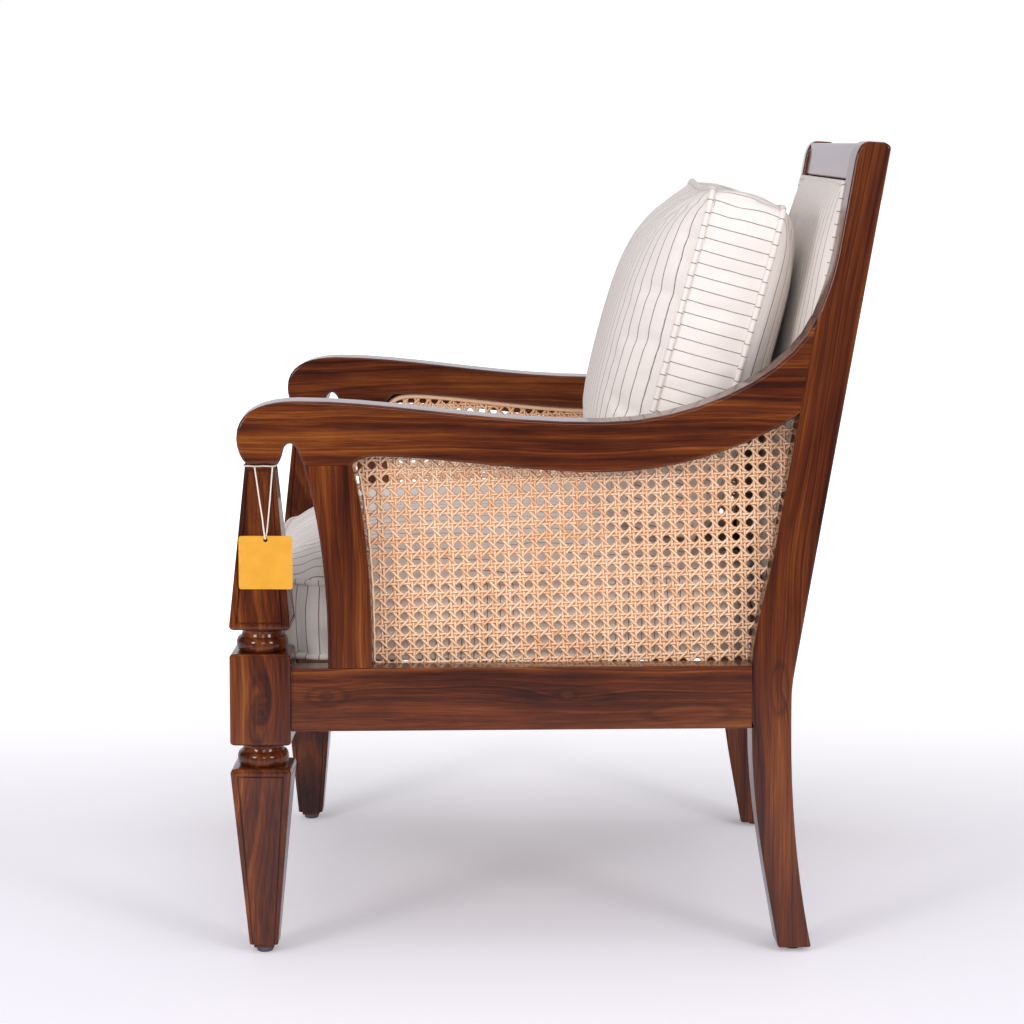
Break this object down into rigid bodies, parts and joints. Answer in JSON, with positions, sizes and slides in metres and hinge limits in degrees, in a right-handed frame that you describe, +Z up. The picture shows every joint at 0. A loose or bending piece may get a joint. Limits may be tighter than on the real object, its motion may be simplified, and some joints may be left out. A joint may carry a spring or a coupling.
{
  "type": "colonial armchair with cane sides",
  "caption": "Wooden lounge armchair with scrolled arms, fielded tapered front legs, cane sides, a raked upholstered back, and loose seat and back cushions.",
  "frame": {"origin": "on the floor at the middle of the chair's footprint", "axes": "+Z up, -X is the front of the chair, -Y is the sitter's left"},
  "size_m": [0.7426, 0.7027, 0.927],
  "materials": {
    "wood": "reddish brown hardwood under a glossy clear finish",
    "plain_wood": "plain unpolished softwood and plywood",
    "cane": "natural woven cane and half-round reed, matt",
    "fabric": "cream cotton with a fine rib and a thin grey-brown stripe",
    "steel": "zinc plated steel",
    "rubber": "black rubber",
    "card": "yellow card, blank",
    "cotton": "undyed cotton string"
  },
  "bodies": {
    "chair_frame": {"front_leg_left": "wood", "front_leg_right": "wood", "rear_leg_left": "wood", "rear_leg_right": "wood", "arm_left": "wood", "arm_right": "wood", "arm_stump_left": "wood", "arm_stump_right": "wood", "side_rail_left": "wood", "side_rail_right": "wood", "front_rail": "wood", "rear_rail": "wood", "crest_rail": "wood", "lower_back_rail": "wood", "cane_panel_left": "cane", "cane_panel_right": "cane", "cane_spline_left": "cane", "cane_spline_right": "cane", "back_board": "plain_wood", "back_outside_cover": "fabric", "back_pad": "fabric", "seat_cleat_left": "plain_wood", "seat_cleat_right": "plain_wood", "seat_slat_1": "plain_wood", "seat_slat_2": "plain_wood", "seat_slat_3": "plain_wood", "seat_slat_4": "plain_wood", "seat_slat_5": "plain_wood", "seat_slat_6": "plain_wood", "seat_slat_7": "plain_wood", "seat_slat_8": "plain_wood", "front_corner_block_left": "plain_wood", "front_corner_block_right": "plain_wood", "rear_corner_block_left": "plain_wood", "rear_corner_block_right": "plain_wood", "front_block_screw_left_1": "steel", "front_block_screw_left_2": "steel", "front_block_screw_right_1": "steel", "front_block_screw_right_2": "steel", "rear_block_screw_left_1": "steel", "rear_block_screw_left_2": "steel", "rear_block_screw_right_1": "steel", "rear_block_screw_right_2": "steel", "front_glide_left": "steel", "front_glide_right": "steel", "rear_foot_pad_left": "rubber", "rear_foot_pad_right": "rubber", "tag_string_loop": "cotton"},
    "seat_cushion": {"seat_cushion": "fabric"},
    "back_cushion": {"back_cushion": "fabric"},
    "tag": {"hang_tag": "card", "tag_string": "cotton"}
  },
  "joints": [
    {"name": "seat_cushion_lift", "type": "slide", "parent": "chair_frame", "child": "seat_cushion", "axis": [0, 0, 1], "range_m": [0, 0.3]},
    {"name": "back_cushion_lift", "type": "slide", "parent": "seat_cushion", "child": "back_cushion", "axis": [0, 0, 1], "range_m": [0, 0.3]},
    {"name": "tag_swing", "type": "hinge", "parent": "chair_frame", "child": "tag", "pos_m": [-0.332, -0.33585, 0.563], "axis": [-1, 0, 0], "range_deg": [0, 45]}
  ]
}
